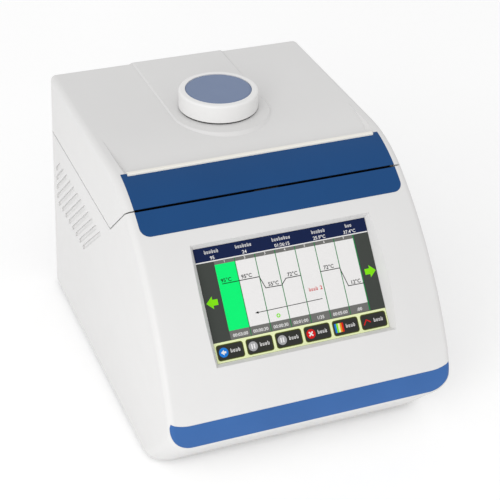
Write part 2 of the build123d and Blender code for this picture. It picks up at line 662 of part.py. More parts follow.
def fan_rotor(x):
    """Fan wheel: hub, shaft and seven pitched blades."""
    low, high = FAN_LOW_Z + 3, FAN_LOW_Z + 13.5
    hub = rod(0, 0, low, high, FAN_HUB_R)
    blade = Pos(FAN_BORE_R / 2 + 6, 0, (low + high) / 2) * Rot(38, 0, 0) * Box(FAN_BORE_R + 2, 15, 1.4)
    reach = rod(0, 0, low + 0.3, high - 0.3, FAN_BORE_R - 1) - rod(0, 0, low - 1, high + 1, FAN_HUB_R - 1)
    blade &= reach
    for i in range(BLADES):
        hub += Rot(0, 0, i * 360 / BLADES) * blade
    hub += rod(0, 0, FAN_LOW_Z + 0.3, low + 0.1, 1.5)
    return Pos(x, AXIS_Y, 0) * hub


def fan_mount():
    """Plate that carries both fans, on four legs to the tray."""
    plate = block(-78, 78, AXIS_Y - 40, AXIS_Y + 40, FAN_LOW_Z - 2, FAN_LOW_Z)
    for x in (-FAN_X, FAN_X):
        plate -= rod(x, AXIS_Y, 80, 100, FAN_BORE_R)
    for x in (-74, 74):
        for y in (-36, 36):
            plate += rod(x, AXIS_Y + y, BODY_BOTTOM_Z + WALL, FAN_LOW_Z - 1.9, 4)
    return plate


def air_duct(side):
    """Open sheet duct from the heat sink's end to the louvres."""
    x0, x1 = sorted((side * 76.0, side * 134.4))
    low, high = FIN_LOW_Z - 2, SINK_BASE_Z
    duct = block(x0, x1, AXIS_Y - 50, AXIS_Y + 50, low - 1.5, high + 1.5)
    duct -= block(x0 - 1, x1 + 1, AXIS_Y - 48.5, AXIS_Y + 48.5, low, high)
    return duct


def power_supply():
    """Switching supply in a vented metal case, with a terminal block."""
    case = block(-112, 52, -104, -18, 12, 58) - block(-110.5, 50.5, -102.5, -19.5, 13.5, 56.5)
    for i in range(12):
        case -= block(-104 + 9 * i, -100 + 9 * i, -90, -34, 50, 60)
    case += block(-60, -6, -86, -36, 13.4, 50) + rod(20, -40, 13.4, 48, 14) + rod(-88, -60, 13.4, 44, 12)
    for x in (-108, 42):
        for y in (-76, -28):
            case += block(x, x + 8, y, y + 8, BODY_BOTTOM_Z + WALL, 12.1)
    terminals = block(52, 64, -96, -30, 20, 34)
    for i in range(6):
        terminals -= block(55, 66, -93 + 10.6 * i, -86 + 10.6 * i, 26, 40)
    return case + terminals


def driver_board():
    """Board that drives the heat pumps, upright beside the supply."""
    board = block(92, 93.6, -90, 4, 14, 96) + block(86, 100, -76, -70, 7, 14.1) + block(86, 100, -6, 0, 7, 14.1)
    for i in range(3):
        board += rod_x(93.5, 112, -78 + 18 * i, 34, 6)
        board += block(93.5, 99, -86 + 18 * i, -72 + 18 * i, 56, 76)
    board += block(93.5, 108, -28, -6, 24, 84)
    return board


# ---------------------------------------------------------------- rear connectors
INLET_X, INLET_Z = 84.0, 62.0
SWITCH_X, SWITCH_Z = 46.0, 62.0
USB_XS, USB_Z = (20.0, 42.0, 64.0), 140.0
FACE_Y = PANEL_Y + PANEL_THICK
ROCKER_TILT = 9.0
ROCKER_PIN_R = 1.2


def mains_inlet():
    """Three-pin inlet with a bay for the fuse drawer above it."""
    body = block(INLET_X - 16, INLET_X + 16, FACE_Y, FACE_Y + 2.2, INLET_Z - 31, INLET_Z + 31)
    body = fillet(body.edges().filter_by(Axis.Y), 3)
    body += block(INLET_X - 13.8, INLET_X + 13.8, FACE_Y - 24, FACE_Y + 0.1, INLET_Z - 28.3, INLET_Z + 28.3)
    body -= block(INLET_X - 12.1, INLET_X + 12.1, FACE_Y - 16, FACE_Y + 5, INLET_Z - 25, INLET_Z - 8.6)
    body -= block(INLET_X - 12.3, INLET_X + 12.3, FACE_Y - 20, FACE_Y + 5, INLET_Z + 4.7, INLET_Z + 23.3)
    for x, z in ((-7, -18.6), (0, -14.6), (7, -18.6)):
        pin = block(INLET_X + x - 1, INLET_X + x + 1, FACE_Y - 17, FACE_Y - 5, INLET_Z + z - 2, INLET_Z + z + 2)
        body += pin
    return body


def fuse_drawer():
    """Pull-out drawer with two fuse seats and a finger lip."""
    low, high = INLET_Z + 5, INLET_Z + 23
    drawer = block(INLET_X - 12, INLET_X + 12, FACE_Y - 19.5, FACE_Y + 1.6, low, high)
    drawer -= block(INLET_X - 10.5, INLET_X + 10.5, FACE_Y - 18, FACE_Y - 2, low + 1.5, high + 1)
    drawer += block(INLET_X - 6, INLET_X + 6, FACE_Y + 1.5, FACE_Y + 2.9, high - 4, high - 2.4)
    return drawer


def fuses():
    """Two glass fuses in the drawer."""
    fuse = Cylinder(2.5, 19)
    return [Pos(INLET_X, FACE_Y - y, INLET_Z + 9) * Rot(0, 90, 0) * fuse for y in (6, 13)]


def switch_frame():
    """Snap-in frame of the power switch."""
    frame = block(SWITCH_X - 10, SWITCH_X + 10, FACE_Y, FACE_Y + 1.4, SWITCH_Z - 13, SWITCH_Z + 13)
    frame += block(SWITCH_X - 7, SWITCH_X + 7, FACE_Y - 16, FACE_Y + 0.1, SWITCH_Z - 10, SWITCH_Z + 10)
    frame -= block(SWITCH_X - 5.6, SWITCH_X + 5.6, FACE_Y - 10, FACE_Y + 5, SWITCH_Z - 8.8, SWITCH_Z + 8.8)
    return frame - rod_x(SWITCH_X - 8, SWITCH_X + 8, FACE_Y - 3, SWITCH_Z, ROCKER_PIN_R + RUN)


def power_rocker():
    """Rocker of the power switch, tipped to its off side."""
    pivot_y = FACE_Y - 3.0
    outline = [
        Line((pivot_y - 3.5, -2), (pivot_y - 3.5, 2)),
        Line((pivot_y - 3.5, 2), (pivot_y + 3.6, 7.6)),
        ThreePointArc((pivot_y + 3.6, 7.6), (pivot_y + 2.6, 0), (pivot_y + 3.6, -7.6)),
        Line((pivot_y + 3.6, -7.6), (pivot_y - 3.5, -2)),
    ]
    rocker = extrude(Plane.YZ * make_face(outline), amount=5.3, both=True)
    rocker += rod_x(-6.6, 6.6, pivot_y, 0, ROCKER_PIN_R)
    tilted = Pos(0, pivot_y, 0) * Rot(ROCKER_TILT, 0, 0) * Pos(0, -pivot_y, 0) * rocker
    return Pos(SWITCH_X, 0, SWITCH_Z) * tilted


def usb_sockets():
    """Three data sockets in the rear panel."""
    shell = block(-7.3, 7.3, FACE_Y - 14, FACE_Y + 0.8, -3.8, 3.8)
    shell -= block(-6.6, 6.6, FACE_Y - 12, FACE_Y + 5, -3.1, 3.1)
    shell += block(-5.5, 5.5, FACE_Y - 12.1, FACE_Y - 4.2, 0.6, 2.4)
    return [Pos(x, 0, USB_Z) * shell for x in USB_XS]


# ---------------------------------------------------------------- hinges
def hinge_brackets():
    """Steel brackets of the base, each ending in a barrel on the hinge axis."""
    pair = []
    for x in (-HINGE_X, HINGE_X):
        arm = block(x - ARM_HALF, x + ARM_HALF, ARM_LOW_Y, ARM_HIGH_Y, 166.5, HINGE_Z)
        arm += rod_x(x - ARM_HALF, x + ARM_HALF, HINGE_Y, HINGE_Z, BARREL_R)
        arm += block(x - ARM_HALF - 6, x + ARM_HALF + 6, ARM_LOW_Y, ARM_LOW_Y + 4, 172, 179)
        arm -= rod_x(x - 30, x + 30, HINGE_Y, HINGE_Z, PIN_R + RUN)
        pair.append(arm)
    return pair


def hinge_leaves():
    """Steel leaves of the lid: two barrels and a plate along the rear wall."""
    pair = []
    for x in (-HINGE_X, HINGE_X):
        plate = block(x - 21, x + 21, 187.4, REAR_Y - WALL, HINGE_Z, 238)
        plate -= block(x - ARM_HALF - 0.8, x + ARM_HALF + 0.8, 180, 195, HINGE_Z - 5, HINGE_Z + 7)
        for x0, x1 in ((x - 21, x - ARM_HALF - 0.4), (x + ARM_HALF + 0.4, x + 21)):
            plate += rod_x(x0, x1, HINGE_Y, HINGE_Z, BARREL_R)
        plate -= rod_x(x - 30, x + 30, HINGE_Y, HINGE_Z, PIN_R)
        pair.append(plate)
    return pair


def hinge_pins():
    """Hinge pins, pressed into the lid's leaves."""
    return [rod_x(x - 21.5, x + 21.5, HINGE_Y, HINGE_Z, PIN_R) for x in (-HINGE_X, HINGE_X)]


# ---------------------------------------------------------------- lid
LINER_Z = SEAM_Z + 2.0
LINER_THICK = 2.5
OPENING_X, OPENING_Y = 74.0, 52.0
GUIDE_X, GUIDE_Y, GUIDE_R = 64.0, 34.0, 3.0
CARRIER_Z = 205.0
BUSH_R = 12.0


def lid_shell():
    """White outer moulding of the lid."""
    solid = OUTER & ABOVE
    solid = solid - DISH + (TONGUE & ABOVE)
    cavity = INNER - dish(WALL)
    solid -= cavity
    solid -= LID_BAND - UNDER_INLAY
    solid += (LID_BAND & UNDER_INLAY) - casing(WALL + INLAY)
    solid -= OPEN_JOINT
    solid -= SEAL_SEAT
    solid -= rod(0, AXIS_Y, 230, 260, BUSH_R)
    for x in (-HINGE_X, HINGE_X):
        solid -= block(x - ARM_HALF - 0.8, x + ARM_HALF + 0.8, 175, 200, 180, HINGE_Z + 6.5)
    solid -= seam_bar(-14, 22, 50, 62.2, -5, 1.4)
    for x in (-GUIDE_X, GUIDE_X):
        for y in (-GUIDE_Y, GUIDE_Y):
            solid += rod(x, AXIS_Y + y, 238, 249, 6) - rod(x, AXIS_Y + y, 230, 246, GUIDE_R)
    for x, y in liner_screw_places():
        x0, x1 = sorted((x, 1.2 * x))
        post = rod(x, y, LINER_Z + LINER_THICK + 0.1, 260, 4.5)
        post += block(x0, x1, y - 1.5, y + 1.5, LINER_Z + LINER_THICK + 4, 260)
        solid += (post & cavity) - rod(x, y, 180, 204, 1.5)
    solid -= trim_tool()
    return solid


def trim_tool():
    """Seat of the cream trim."""
    return block(-LIP_TRIM_HALF, LIP_TRIM_HALF, BAND_TOP_Y - 3.7, BAND_TOP_Y + 1.0, 241.5, 249)


def lid_trim():
    """Cream lip along the upper edge of the blue band."""
    bar = block(-LIP_TRIM_HALF, LIP_TRIM_HALF, BAND_TOP_Y - 3.7, BAND_TOP_Y + 1.0, 241.5, 249)
    return fillet(bar.edges().filter_by(Axis.X).group_by(Axis.Z)[-1], 1.2)


def lid_band():
    """Blue inlay of the lid, down to the open joint."""
    return (LID_BAND & OUTER) - UNDER_INLAY - trim_tool()


def lid_seal():
    """Black foam strip along the open joint, behind the band's lower edge."""
    seal = seam_bar(-126.6, 126.6, 50.2, 70, BAND_EDGE_GAP, 2) & UNDER_INLAY
    return seal - seam_bar(-6.5, 14.5, 50, 54.5, 0, 3)


def lid_liner():
    """Inner moulding that closes the lid round the heated plate."""
    level = above_seam(2.0) - above_seam(2.0 + LINER_THICK)
    liner = level & casing(WALL + 0.3)
    liner &= block(-WIDE, WIDE, -100, 174, 180, 260)
    liner -= block(-WIDE, WIDE, -100, BAND_TOP_Y + 4, 180, 260) - casing(WALL + INLAY + 0.3)
    liner -= block(-OPENING_X, OPENING_X, AXIS_Y - OPENING_Y, AXIS_Y + OPENING_Y, 180, 200)
    for x in (-LATCH_X, LATCH_X):
        liner -= seam_bar(x - 5, x + 13, 44, 51, 0, 8)
    liner -= seam_bar(-7, 15, 50.4, 54, 0, 8)
    for x, y in liner_screw_places():
        liner -= rod(x, y, 180, 200, 1.7)
    return liner


def liner_screw_places():
    """Centres of the screws that hold the liner."""
    return [(x, y) for x in (-120, 120) for y in (6, 84, 162)]


def liner_screws():
    """Screws of the lid's liner."""
    screw = rod(0, 0, LINER_Z - 1.2, LINER_Z, 3) + rod(0, 0, LINER_Z - 0.1, LINER_Z + 8, 1.5)
    screw -= block(-2, 2, -0.4, 0.4, LINER_Z - 2, LINER_Z - 0.6)
    return [Pos(x, y, 0) * screw for x, y in liner_screw_places()]


def latch_bar():
    """Sliding bar with two hooks and a thumb tab in the open joint."""
    bar = seam_bar(-58, 58, 45, 50, 5.2, 9.2)
    for x in (-LATCH_X, LATCH_X):
        bar += seam_bar(x - 3, x + 3, 45.5, 49.5, -10, 5.3)
        bar += seam_bar(x - 3, x + 9, 45.5, 49.5, -10, -7.4)
    stem = seam_bar(-5, 5, 49, 53, 5.2, 9.2) + seam_bar(-5, 5, 51, 53, -2, 9)
    tab = seam_bar(-12, 12, 51, 60, -1.4, 0.2)
    return bar + stem + tab


def latch_guides():
    """Two brackets on the liner that hold the latch bar."""
    guides = []
    for x in (-20, 24):
        guide = seam_bar(x - 4, x + 4, 41, 54, 4.5, 12) - seam_bar(x - 5, x + 5, 44.6, 50.4, 4.4, 9.6)
        guides.append(guide)
    return guides


def keeper_plate():
    """Steel plate under the base's slope that the hooks catch."""
    plate = seam_bar(-66, 66, 38, 58, -6.4, -4.4)
    for x in (-LATCH_X, LATCH_X):
        plate -= seam_bar(x - 4.5, x + 12.5, 43, 55, -8, 0)
    return plate & INNER


# ---------------------------------------------------------------- knob and heated plate
def knob_body():
    """White knob: a hollow cap on a hub."""
    cap = rod(0, AXIS_Y, KNOB_BASE_Z, KNOB_TOP_Z, KNOB_R)
    cap = fillet(cap.edges().group_by(Axis.Z)[-1], 2.4)
    cap -= rod(0, AXIS_Y, KNOB_BASE_Z - 1, KNOB_TOP_Z - 5, KNOB_R - 3)
    cap += rod(0, AXIS_Y, KNOB_BASE_Z + 2, KNOB_TOP_Z - 4.9, SCREW_R + 6)
    cap -= rod(0, AXIS_Y, KNOB_TOP_Z - 2.2, KNOB_TOP_Z + 1, DISC_R)
    return cap - rod(0, AXIS_Y, KNOB_BASE_Z, KNOB_TOP_Z - 6, SCREW_R)


def knob_disc():
    """Blue disc let into the knob, with a bevelled rim."""
    disc = rod(0, AXIS_Y, KNOB_TOP_Z - 2.2, KNOB_TOP_Z, DISC_R)
    return chamfer(disc.edges().group_by(Axis.Z)[-1], 1.0, 2.2)


def knob_screw():
    """Spindle pressed into the knob; its lower end runs in the carrier's nut."""
    return rod(0, AXIS_Y, CARRIER_Z + 1, KNOB_TOP_Z - 6, SCREW_R)


def knob_bush():
    """Flanged bush in the lid's top."""
    bush = rod(0, AXIS_Y, 240, KNOB_BASE_Z - 0.4, BUSH_R) + rod(0, AXIS_Y, 244, LID_TOP_Z - WALL, BUSH_R + 6)
    return bush - rod(0, AXIS_Y, 230, 260, SCREW_R + RUN)


def knob_ring():
    """Dark felt ring under the knob."""
    ring = rod(0, AXIS_Y, TONGUE_Z, KNOB_BASE_Z - 0.35, KNOB_R - 0.8)
    return ring - rod(0, AXIS_Y, 250, 260, KNOB_R - 6)


def plate_carrier():
    """Carrier with the nut, guided on four posts."""
    half_x, half_y = 71.0, 40.0
    carrier = block(-half_x, half_x, AXIS_Y - half_y, AXIS_Y + half_y, CARRIER_Z, CARRIER_Z + 5)
    carrier += rod(0, AXIS_Y, CARRIER_Z + 4, CARRIER_Z + 18, 12)
    for angle in (0, 90):
        rib = Pos(0, AXIS_Y, CARRIER_Z + 8) * Rot(0, 0, angle) * Box(70, 4, 8)
        carrier += rib
    for x in (-GUIDE_X, GUIDE_X):
        for y in (-GUIDE_Y, GUIDE_Y):
            carrier -= rod(x, AXIS_Y + y, 190, 230, GUIDE_R + RUN)
    return carrier - rod(0, AXIS_Y, 190, 240, SCREW_R + RUN)


def plate_insulation():
    """Insulating sheet between the carrier and the heated plate."""
    return block(-57, 57, AXIS_Y - 39, AXIS_Y + 39, CARRIER_Z - 3, CARRIER_Z)


def heated_plate():
    """Aluminium plate that presses on the tubes."""
    plate = block(-57, 57, AXIS_Y - 39, AXIS_Y + 39, CARRIER_Z - 10, CARRIER_Z - 3)
    return fillet(plate.edges().filter_by(Axis.Z), 4)


def guide_posts():
    """Four posts in the lid that guide the carrier."""
    places = [(x, y) for x in (-GUIDE_X, GUIDE_X) for y in (-GUIDE_Y, GUIDE_Y)]
    return [rod(x, AXIS_Y + y, CARRIER_Z - 6, 246, GUIDE_R) for x, y in places]


def plate_screws():
    """Screws through the carrier's underside into the insulation's frame."""
    screw = rod(0, 0, CARRIER_Z + 5, CARRIER_Z + 7.5, 2.8) - rod(0, 0, CARRIER_Z + 6.2, CARRIER_Z + 9, 1.3)
    return [Pos(x, AXIS_Y + y, 0) * screw for x in (-48, 48) for y in (-30, 30)]


# ---------------------------------------------------------------- export
NODES = {
    "base_housing": base_housing,
    "louvre_guards": louvre_guards,
    "bottom_tray": bottom_tray,
    "rubber_feet": rubber_feet,
    "tray_screws": tray_screws,
    "top_deck": top_deck,
    "deck_gasket": deck_gasket,
    "rear_panel": rear_panel,
    "panel_screws": panel_screws,
    "base_blue_band": base_band,
    "front_blue_strip": front_strip,
    "touch_glass": touch_glass,
    "display_module": display_module,
    "display_bracket": display_bracket,
    "main_board": main_board,
    "sample_block": sample_block,
    "thermal_pads": thermal_pads,
    "heat_pumps": heat_pumps,
    "heat_sink": heat_sink,
    "block_screws": block_screws,
    "fan_frame_left": lambda: fan_frame(-FAN_X),
    "fan_frame_right": lambda: fan_frame(FAN_X),
    "fan_rotor_left": lambda: fan_rotor(-FAN_X),
    "fan_rotor_right": lambda: fan_rotor(FAN_X),
    "fan_mount": fan_mount,
    "air_duct_left": lambda: air_duct(-1),
    "air_duct_right": lambda: air_duct(1),
    "power_supply": power_supply,
    "driver_board": driver_board,
    "mains_inlet": mains_inlet,
    "fuse_drawer": fuse_drawer,
    "fuses": fuses,
    "switch_frame": switch_frame,
    "power_rocker": power_rocker,
    "usb_sockets": usb_sockets,
    "hinge_brackets": hinge_brackets,
    "keeper_plate": keeper_plate,
    "hinge_leaves": hinge_leaves,
    "hinge_pins": hinge_pins,
    "lid_shell": lid_shell,
    "lid_liner": lid_liner,
    "liner_screws": liner_screws,
    "lid_blue_band": lid_band,
    "lid_trim": lid_trim,
    "lid_seal": lid_seal,
    "latch_guides": latch_guides,
    "latch_bar": latch_bar,
    "guide_posts": guide_posts,
    "knob_bush": knob_bush,
    "knob_ring": knob_ring,
    "knob_body": knob_body,
    "knob_disc": knob_disc,
    "knob_screw": knob_screw,
    "plate_carrier": plate_carrier,
    "plate_insulation": plate_insulation,
    "heated_plate": heated_plate,
    "plate_screws": plate_screws,
}


def save(node, shape):
    """Write one node's STEP file, with every piece as its own solid."""
    solids = shape if isinstance(shape, list) else [shape]
    flat = [solid for piece in solids for solid in piece.solids()]
    shape = flat[0] if len(flat) == 1 else Compound(children=flat)
    export_step(shape, f"parts/{node}.step")


if __name__ == "__main__":
    for node, make in NODES.items():
        save(node, make())
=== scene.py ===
import json
from math import cos, pi, radians, sin

import bmesh
import bpy
from mathutils import Matrix, Vector

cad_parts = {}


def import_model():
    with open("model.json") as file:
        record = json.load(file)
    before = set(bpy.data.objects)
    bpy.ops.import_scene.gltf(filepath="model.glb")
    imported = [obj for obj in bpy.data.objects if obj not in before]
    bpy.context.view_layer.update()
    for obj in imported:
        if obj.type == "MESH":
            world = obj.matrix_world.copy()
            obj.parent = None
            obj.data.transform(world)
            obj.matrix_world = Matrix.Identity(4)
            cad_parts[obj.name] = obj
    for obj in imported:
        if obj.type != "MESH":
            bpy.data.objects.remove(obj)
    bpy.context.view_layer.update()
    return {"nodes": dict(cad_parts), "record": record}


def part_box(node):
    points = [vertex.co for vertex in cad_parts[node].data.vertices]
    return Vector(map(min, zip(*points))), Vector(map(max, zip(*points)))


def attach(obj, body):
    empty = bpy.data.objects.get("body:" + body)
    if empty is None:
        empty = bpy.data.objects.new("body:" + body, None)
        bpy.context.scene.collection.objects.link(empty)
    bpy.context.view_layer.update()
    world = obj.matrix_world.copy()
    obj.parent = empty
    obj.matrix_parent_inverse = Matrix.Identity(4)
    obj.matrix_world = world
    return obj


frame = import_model()
NODES = frame["nodes"]
MM = 0.001
NOISE_LOW, NOISE_HIGH = 0.3, 0.7    # the part of a noise's range that a material uses


# ---------------------------------------------------------------- materials
def new_material(name):
    """An empty material with a Principled shader, its tree and its shader."""
    material = bpy.data.materials.new(name)
    material.use_nodes = True
    tree = material.node_tree
    shader = tree.nodes["Principled BSDF"]
    return material, tree, shader


def place(tree):
    """Object coordinates, in metres."""
    found = tree.nodes.get("place")
    if found is None:
        found = tree.nodes.new("ShaderNodeTexCoord")
        found.name = "place"
    return found.outputs["Object"]


def noise(tree, scale, detail=2.0, stretch=(1, 1, 1)):
    """Noise of this many cells to the metre."""
    node = tree.nodes.new("ShaderNodeTexNoise")
    node.inputs["Scale"].default_value = scale
    node.inputs["Detail"].default_value = detail
    mapping = tree.nodes.new("ShaderNodeMapping")
    mapping.inputs["Scale"].default_value = stretch
    tree.links.new(place(tree), mapping.inputs["Vector"])
    tree.links.new(mapping.outputs["Vector"], node.inputs["Vector"])
    return node.outputs["Fac"]


def shade(colour, factor):
    """A colour made lighter or darker."""
    return tuple(min(1.0, channel * factor) for channel in colour)


def mottle(tree, shader, value, colour, low, high):
    """Base colour that runs from low to high times this one with a noise value."""
    ramp = tree.nodes.new("ShaderNodeValToRGB")
    ramp.color_ramp.elements[0].position = NOISE_LOW
    ramp.color_ramp.elements[1].position = NOISE_HIGH
    ramp.color_ramp.elements[0].color = (*shade(colour, low), 1)
    ramp.color_ramp.elements[1].color = (*shade(colour, high), 1)
    tree.links.new(value, ramp.inputs["Fac"])
    tree.links.new(ramp.outputs["Color"], shader.inputs["Base Color"])


def roughen(tree, shader, value, low, high):
    """Roughness that runs from low to high with a noise value."""
    node = tree.nodes.new("ShaderNodeMapRange")
    node.inputs["From Min"].default_value = NOISE_LOW
    node.inputs["From Max"].default_value = NOISE_HIGH
    node.inputs["To Min"].default_value = low
    node.inputs["To Max"].default_value = high
    tree.links.new(value, node.inputs["Value"])
    tree.links.new(node.outputs["Result"], shader.inputs["Roughness"])


def relief(tree, shader, height, depth_mm, edge_mm=0.0):
    """Bump of this depth, on top of edges rounded by edge_mm."""
    bump = tree.nodes.new("ShaderNodeBump")
    bump.inputs["Distance"].default_value = depth_mm * MM
    tree.links.new(height, bump.inputs["Height"])
    if edge_mm:
        bevel = tree.nodes.new("ShaderNodeBevel")
        bevel.samples = 4
        bevel.inputs["Radius"].default_value = edge_mm * MM
        tree.links.new(bevel.outputs["Normal"], bump.inputs["Normal"])
    tree.links.new(bump.outputs["Normal"], shader.inputs["Normal"])


def plastic(name, colour, rough, vary=0.015, grain=2600, grain_mm=0.004,
            edge_mm=0.0, coat=0.0, specular=0.35):
    """Moulded plastic: a fine spark-eroded grain, faint flow marks, uneven gloss."""
    material, tree, shader = new_material(name)
    mottle(tree, shader, noise(tree, 11, 3, (1, 0.35, 1)), colour, 1 - vary, 1 + vary)
    roughen(tree, shader, noise(tree, 60, 4), rough - 0.03, rough + 0.04)
    relief(tree, shader, noise(tree, grain, 3), grain_mm, edge_mm)
    shader.inputs["Specular IOR Level"].default_value = specular
    shader.inputs["Coat Weight"].default_value = coat
    shader.inputs["Coat Roughness"].default_value = 0.12
    return material


def metal(name, colour, rough, brushed=(1, 1, 1), grain_mm=0.002, edge_mm=0.0):
    """Metal with fine marks; brushed is the stretch of the marks along X, Y and Z."""
    material, tree, shader = new_material(name)
    shader.inputs["Metallic"].default_value = 1.0
    scratches = noise(tree, 900, 3, brushed)
    mottle(tree, shader, noise(tree, 35, 3), colour, 0.93, 1.05)
    roughen(tree, shader, scratches, rough - 0.06, rough + 0.08)
    relief(tree, shader, scratches, grain_mm, edge_mm)
    return material


def paint(name, colour):
    """Powder coat with its orange-peel texture."""
    material, tree, shader = new_material(name)
    mottle(tree, shader, noise(tree, 14, 3), colour, 0.97, 1.03)
    roughen(tree, shader, noise(tree, 300, 2), 0.45, 0.55)
    relief(tree, shader, noise(tree, 700, 2), 0.05, 0.2)
    return material


def cloth(name, colour):
    """Felt: matt fibres with a soft sheen."""
    material, tree, shader = new_material(name)
    fibres = noise(tree, 3000, 6, (1, 0.3, 1))
    mottle(tree, shader, fibres, colour, 0.6, 1.6)
    shader.inputs["Roughness"].default_value = 0.95
    shader.inputs["Sheen Weight"].default_value = 0.3
    relief(tree, shader, fibres, 0.1)
    return material


def board(name, colour):
    """Solder mask over copper tracks."""
    material, tree, shader = new_material(name)
    tracks = tree.nodes.new("ShaderNodeTexBrick")
    tracks.inputs["Scale"].default_value = 160
    tracks.inputs["Mortar Size"].default_value = 0.06
    tracks.inputs["Color1"].default_value = (*colour, 1)
    tracks.inputs["Color2"].default_value = (*shade(colour, 1.25), 1)
    tracks.inputs["Mortar"].default_value = (*shade(colour, 0.55), 1)
    tree.links.new(place(tree), tracks.inputs["Vector"])
    tree.links.new(tracks.outputs["Color"], shader.inputs["Base Color"])
    shader.inputs["Roughness"].default_value = 0.3
    relief(tree, shader, tracks.outputs["Fac"], 0.03)
    return material


def screen_colour(name, colour):
    """A lit colour of the display, with the fine grid of its pixels."""
    material, tree, shader = new_material(name)
    grid = tree.nodes.new("ShaderNodeTexBrick")
    grid.offset = 0.0
    grid.inputs["Scale"].default_value = 1000
    grid.inputs["Mortar Size"].default_value = 0.04
    grid.inputs["Brick Width"].default_value = 0.22
    grid.inputs["Row Height"].default_value = 0.22
    grid.inputs["Color1"].default_value = (*colour, 1)
    grid.inputs["Color2"].default_value = (*shade(colour, 0.97), 1)
    grid.inputs["Mortar"].default_value = (*shade(colour, 0.8), 1)
    tree.links.new(place(tree), grid.inputs["Vector"])
    tree.links.new(grid.outputs["Color"], shader.inputs["Base Color"])
    tree.links.new(grid.outputs["Color"], shader.inputs["Emission Color"])
    shader.inputs["Emission Strength"].default_value = PAGE_GLOW
    shader.inputs["Roughness"].default_value = 0.3
    shader.inputs["Specular IOR Level"].default_value = 0.12
    return material


# one material for each slot of the part's record
FINISH = {
    "white_shell": plastic("white_shell", (0.715, 0.710, 0.705), 0.42, edge_mm=0.8),
    # painted shade: the black seal sits in the gap under the lid's band so that the gap reads dark
    "seal_black": plastic("seal_black", (0.006, 0.006, 0.007), 0.9, vary=0.2, grain=1200,
                          grain_mm=0.05, specular=0.1),
    "band_blue": plastic("band_blue", (0.009, 0.062, 0.195), 0.36, vary=0.05, edge_mm=0.25,
                         specular=0.15),
    "strip_blue": plastic("strip_blue", (0.042, 0.130, 0.360), 0.36, vary=0.06, edge_mm=0.25,
                          specular=0.15),
    "trim_cream": plastic("trim_cream", (0.84, 0.82, 0.76), 0.45, edge_mm=0.3),
    # painted highlight: the knob's white is a lighter copy of the shell's white, standing in for the
    # front light on the knob's sides
    "knob_white": plastic("knob_white", (0.82, 0.815, 0.81), 0.38, edge_mm=0.3),
    "disc_blue": plastic("disc_blue", (0.178, 0.232, 0.362), 0.42, vary=0.03,
                         edge_mm=0.12, specular=0.2),
    "touch_glass": plastic("touch_glass", (0.010, 0.011, 0.013), 0.12, coat=0.6),
    "module_black": plastic("module_black", (0.02, 0.02, 0.022), 0.5),
    "tray_steel": paint("tray_steel", (0.50, 0.51, 0.52)),
    "panel_grey": paint("panel_grey", (0.55, 0.56, 0.57)),
    "deck_grey": plastic("deck_grey", (0.42, 0.44, 0.46), 0.5, grain=1400, grain_mm=0.02,
                         edge_mm=0.4),
    "liner_grey": plastic("liner_grey", (0.46, 0.48, 0.50), 0.5, grain=1400, grain_mm=0.02,
                          edge_mm=0.4),
    "silicone": plastic("silicone", (0.30, 0.31, 0.32), 0.65, grain_mm=0.01, edge_mm=0.3),
    "rubber": plastic("rubber", (0.028, 0.028, 0.028), 0.75, vary=0.1, grain_mm=0.02, edge_mm=0.4),
    "screw_steel": metal("screw_steel", (0.55, 0.55, 0.56), 0.32, edge_mm=0.15),
    "sheet_steel": metal("sheet_steel", (0.56, 0.57, 0.58), 0.35, (1, 0.05, 1), edge_mm=0.15),
    "hinge_steel": metal("hinge_steel", (0.56, 0.56, 0.58), 0.33, (0.05, 1, 1), edge_mm=0.2),
    "pin_steel": metal("pin_steel", (0.62, 0.62, 0.64), 0.22, (0.05, 1, 1), edge_mm=0.15),
    "board_green": board("board_green", (0.012, 0.13, 0.06)),
    "block_aluminium": metal("block_aluminium", (0.70, 0.71, 0.73), 0.30, grain_mm=0.004, edge_mm=0.15),
    "sink_aluminium": metal("sink_aluminium", (0.62, 0.63, 0.65), 0.38, (0.05, 1, 1)),
    "plate_aluminium": metal("plate_aluminium", (0.68, 0.69, 0.71), 0.30, (1, 0.04, 1), edge_mm=0.2),
    "supply_metal": metal("supply_metal", (0.58, 0.59, 0.60), 0.42, (1, 0.05, 1)),
    "graphite": plastic("graphite", (0.05, 0.05, 0.055), 0.6),
    "ceramic": plastic("ceramic", (0.78, 0.78, 0.76), 0.45),
    "fan_black": plastic("fan_black", (0.022, 0.022, 0.024), 0.45, vary=0.1, edge_mm=0.2),
    "fan_plate": paint("fan_plate", (0.25, 0.26, 0.27)),
    "duct_grey": paint("duct_grey", (0.16, 0.165, 0.17)),
    "inlet_black": plastic("inlet_black", (0.018, 0.018, 0.020), 0.45, vary=0.1, edge_mm=0.2),
    "drawer_black": plastic("drawer_black", (0.03, 0.03, 0.032), 0.5, vary=0.1, edge_mm=0.2),
    "rocker_black": plastic("rocker_black", (0.018, 0.018, 0.02), 0.22, edge_mm=0.3, coat=0.4),
    "fuse_glass": plastic("fuse_glass", (0.62, 0.66, 0.68), 0.08, coat=0.8),
    "socket_metal": metal("socket_metal", (0.72, 0.72, 0.74), 0.18, edge_mm=0.1),
    "latch_grey": plastic("latch_grey", (0.045, 0.045, 0.05), 0.5, edge_mm=0.2),
    "bush_brass": metal("bush_brass", (0.72, 0.50, 0.20), 0.28),
    "felt_black": cloth("felt_black", (0.03, 0.03, 0.03)),
    "carrier_black": plastic("carrier_black", (0.05, 0.05, 0.055), 0.5),
    "insulation": plastic("insulation", (0.55, 0.50, 0.38), 0.8, vary=0.08, grain=900, grain_mm=0.05),
}
for part in frame["record"]["subparts"]:
    NODES[part["node"]].data.materials.clear()
    NODES[part["node"]].data.materials.append(FINISH[part["material_slot"]])


